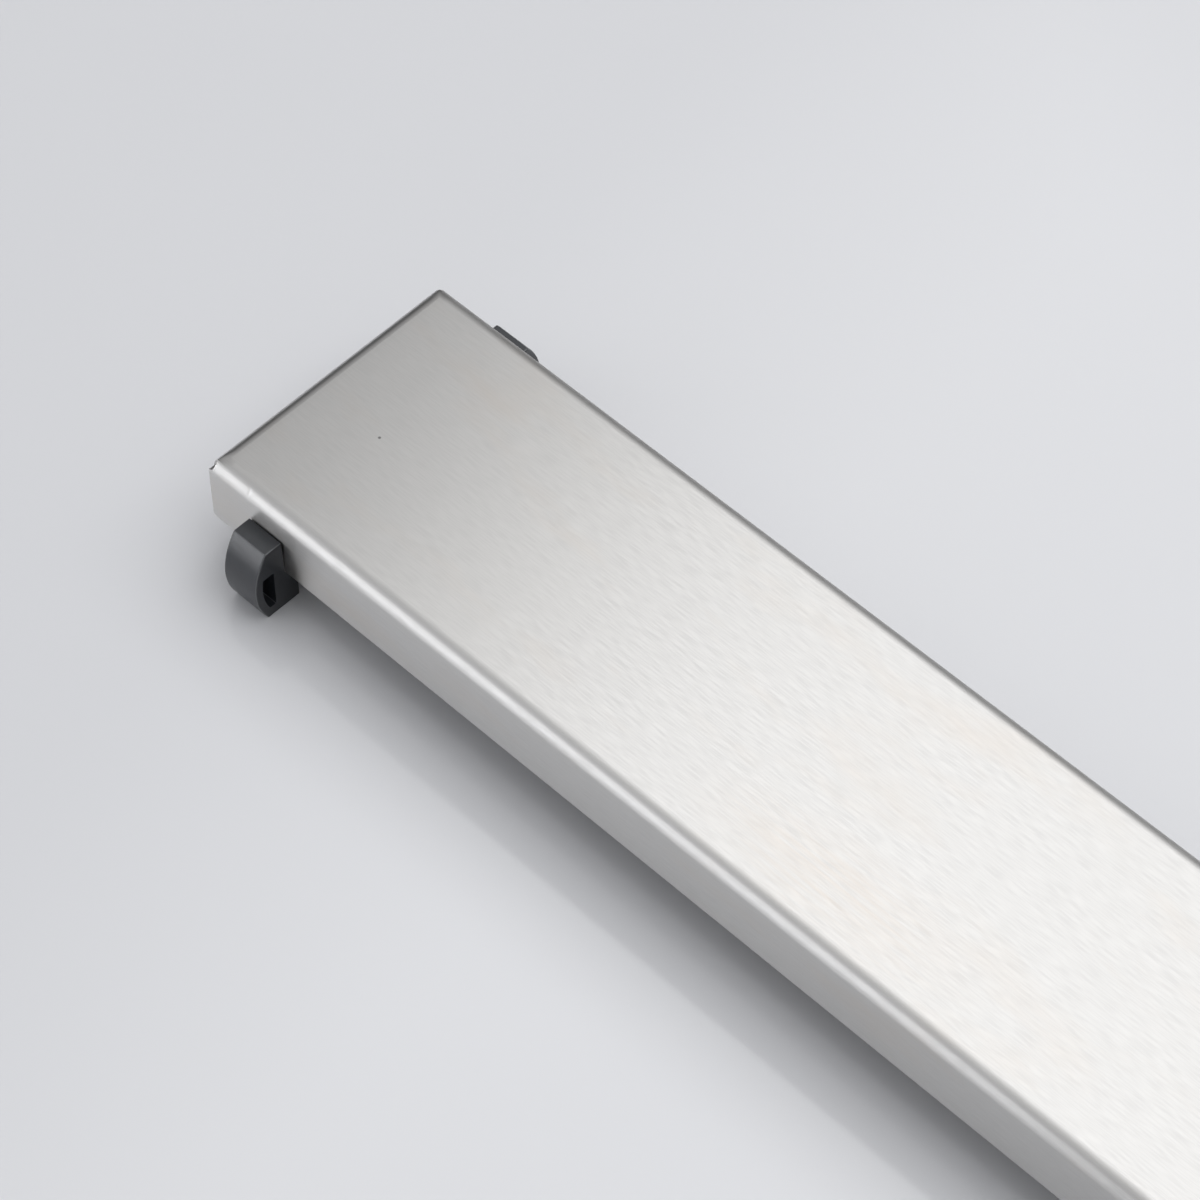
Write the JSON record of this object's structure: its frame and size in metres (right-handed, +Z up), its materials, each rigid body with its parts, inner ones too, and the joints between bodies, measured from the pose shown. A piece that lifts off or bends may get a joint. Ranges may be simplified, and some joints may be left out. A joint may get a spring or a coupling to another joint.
{
  "type": "linear shower drain cover",
  "caption": "Shallow folded stainless cover with a brushed solid top and turned-down flanges, on push-on clip feet that space it inside a linear shower drain's channel.",
  "frame": {"origin": "under the middle of the cover, on the surface that its feet stand on", "axes": "+X along the cover's length, +Y across it towards the rear flange, +Z up through the top face"},
  "size_m": [0.29, 0.07, 0.0247],
  "materials": {
    "brushed_stainless": "brushed in fine straight lines along the length",
    "grey_plastic": "satin moulded"
  },
  "bodies": {
    "root": {"cover_panel": "brushed_stainless", "front_left_foot": "grey_plastic", "front_right_foot": "grey_plastic", "rear_left_foot": "grey_plastic", "rear_right_foot": "grey_plastic"}
  },
  "joints": []
}
